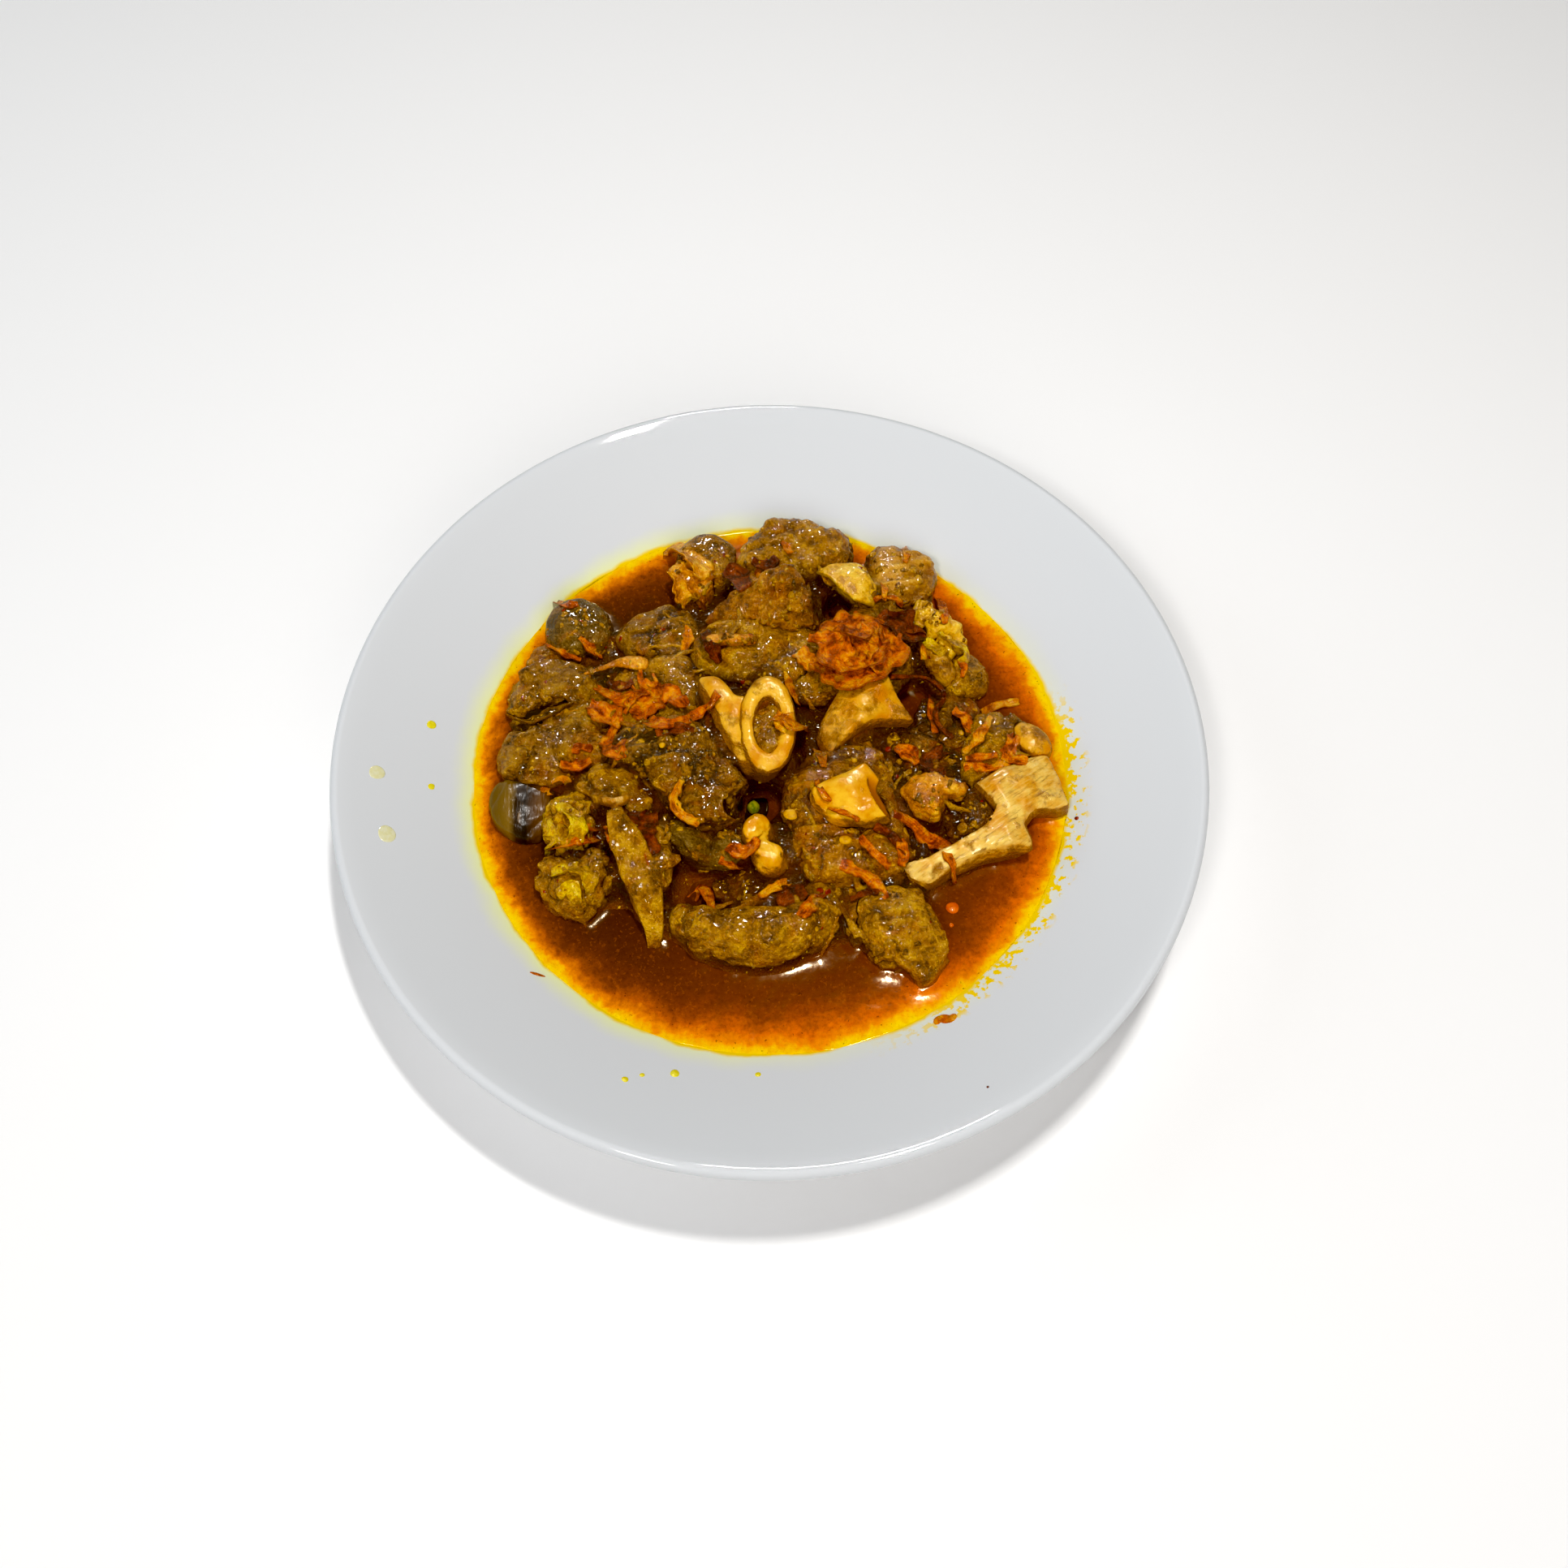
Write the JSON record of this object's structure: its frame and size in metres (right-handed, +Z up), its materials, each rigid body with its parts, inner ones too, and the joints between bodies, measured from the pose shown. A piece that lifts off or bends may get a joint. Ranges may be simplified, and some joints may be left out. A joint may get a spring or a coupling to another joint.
{
  "type": "bowl of mutton bhuna",
  "caption": "Wide rimmed porcelain bowl holding a heap of braised mutton on the bone, marrow bone and fried onion in thin oily gravy.",
  "frame": {"origin": "middle of the foot ring, on the surface that the bowl stands on", "axes": "+Z up; +Y away from the picture's camera, +X to its right"},
  "size_m": [0.24, 0.24, 0.0437],
  "materials": {
    "porcelain": "smooth white glaze",
    "gravy": "thin oily gravy, wet gloss",
    "meat": "braised meat in masala, wet and fine-grained",
    "dark_meat": "darker braised meat and skin, oily",
    "marrow": "soft brown marrow",
    "bone": "cooked bone stained golden by oil",
    "pale_bone": "cooked bone, pale and fibrous",
    "fat": "yellow ruffled fat, glossy",
    "tendon": "amber gristle and skin, translucent",
    "onion": "crisp fried onion, red-orange",
    "dark_onion": "fried onion soaked dark red",
    "peppercorn": "green peppercorn, wet"
  },
  "bodies": {
    "root": {"bowl": "porcelain", "bone_marrow_ring": "bone", "marrow": "marrow", "bone_spurred": "bone", "bone_stub": "pale_bone", "bone_knuckle": "pale_bone", "bone_forked": "pale_bone", "bone_rib": "bone", "bone_tip": "bone", "skin_flap": "tendon", "fat_slab": "fat", "fat_knotted": "fat", "fat_ruffled": "fat", "fat_curled": "fat", "gristle": "tendon", "tendon_strip": "tendon", "tendon_leaf": "tendon", "skin_band": "dark_meat", "peppercorn": "peppercorn", "meat_centre": "meat", "meat_peak": "meat", "meat_back": "meat", "meat_back_left": "meat", "meat_shoulder": "meat", "meat_under_onion": "meat", "meat_east": "meat", "meat_east_low": "meat", "meat_right": "meat", "meat_nook": "meat", "meat_inner_right": "meat", "meat_saddle": "meat", "meat_west": "dark_meat", "meat_fold": "dark_meat", "meat_knot": "meat", "meat_far_west": "dark_meat", "fold_upper": "dark_meat", "fold_lower": "dark_meat", "skin_far_west": "dark_meat", "meat_north_west": "dark_meat", "mash_west": "dark_meat", "meat_pale_edged": "meat", "meat_under_shreds": "meat", "meat_inner_west": "dark_meat", "meat_on_rib": "meat", "meat_wedge": "meat", "meat_front_middle": "meat", "meat_pit": "meat", "meat_crescent": "meat", "onion_bunch": "onion", "onion_leaf": "dark_onion", "onion_over_ring": "onion", "onion_shreds_west": "onion", "onion_flake_west": "onion", "onion_wire": "dark_onion", "onion_double": "onion", "onion_shred_east": "onion", "onion_shred_south": "dark_onion", "onion_shred_saddle": "dark_onion", "onion_shred_west": "dark_onion", "gravy": "gravy"}
  },
  "joints": []
}
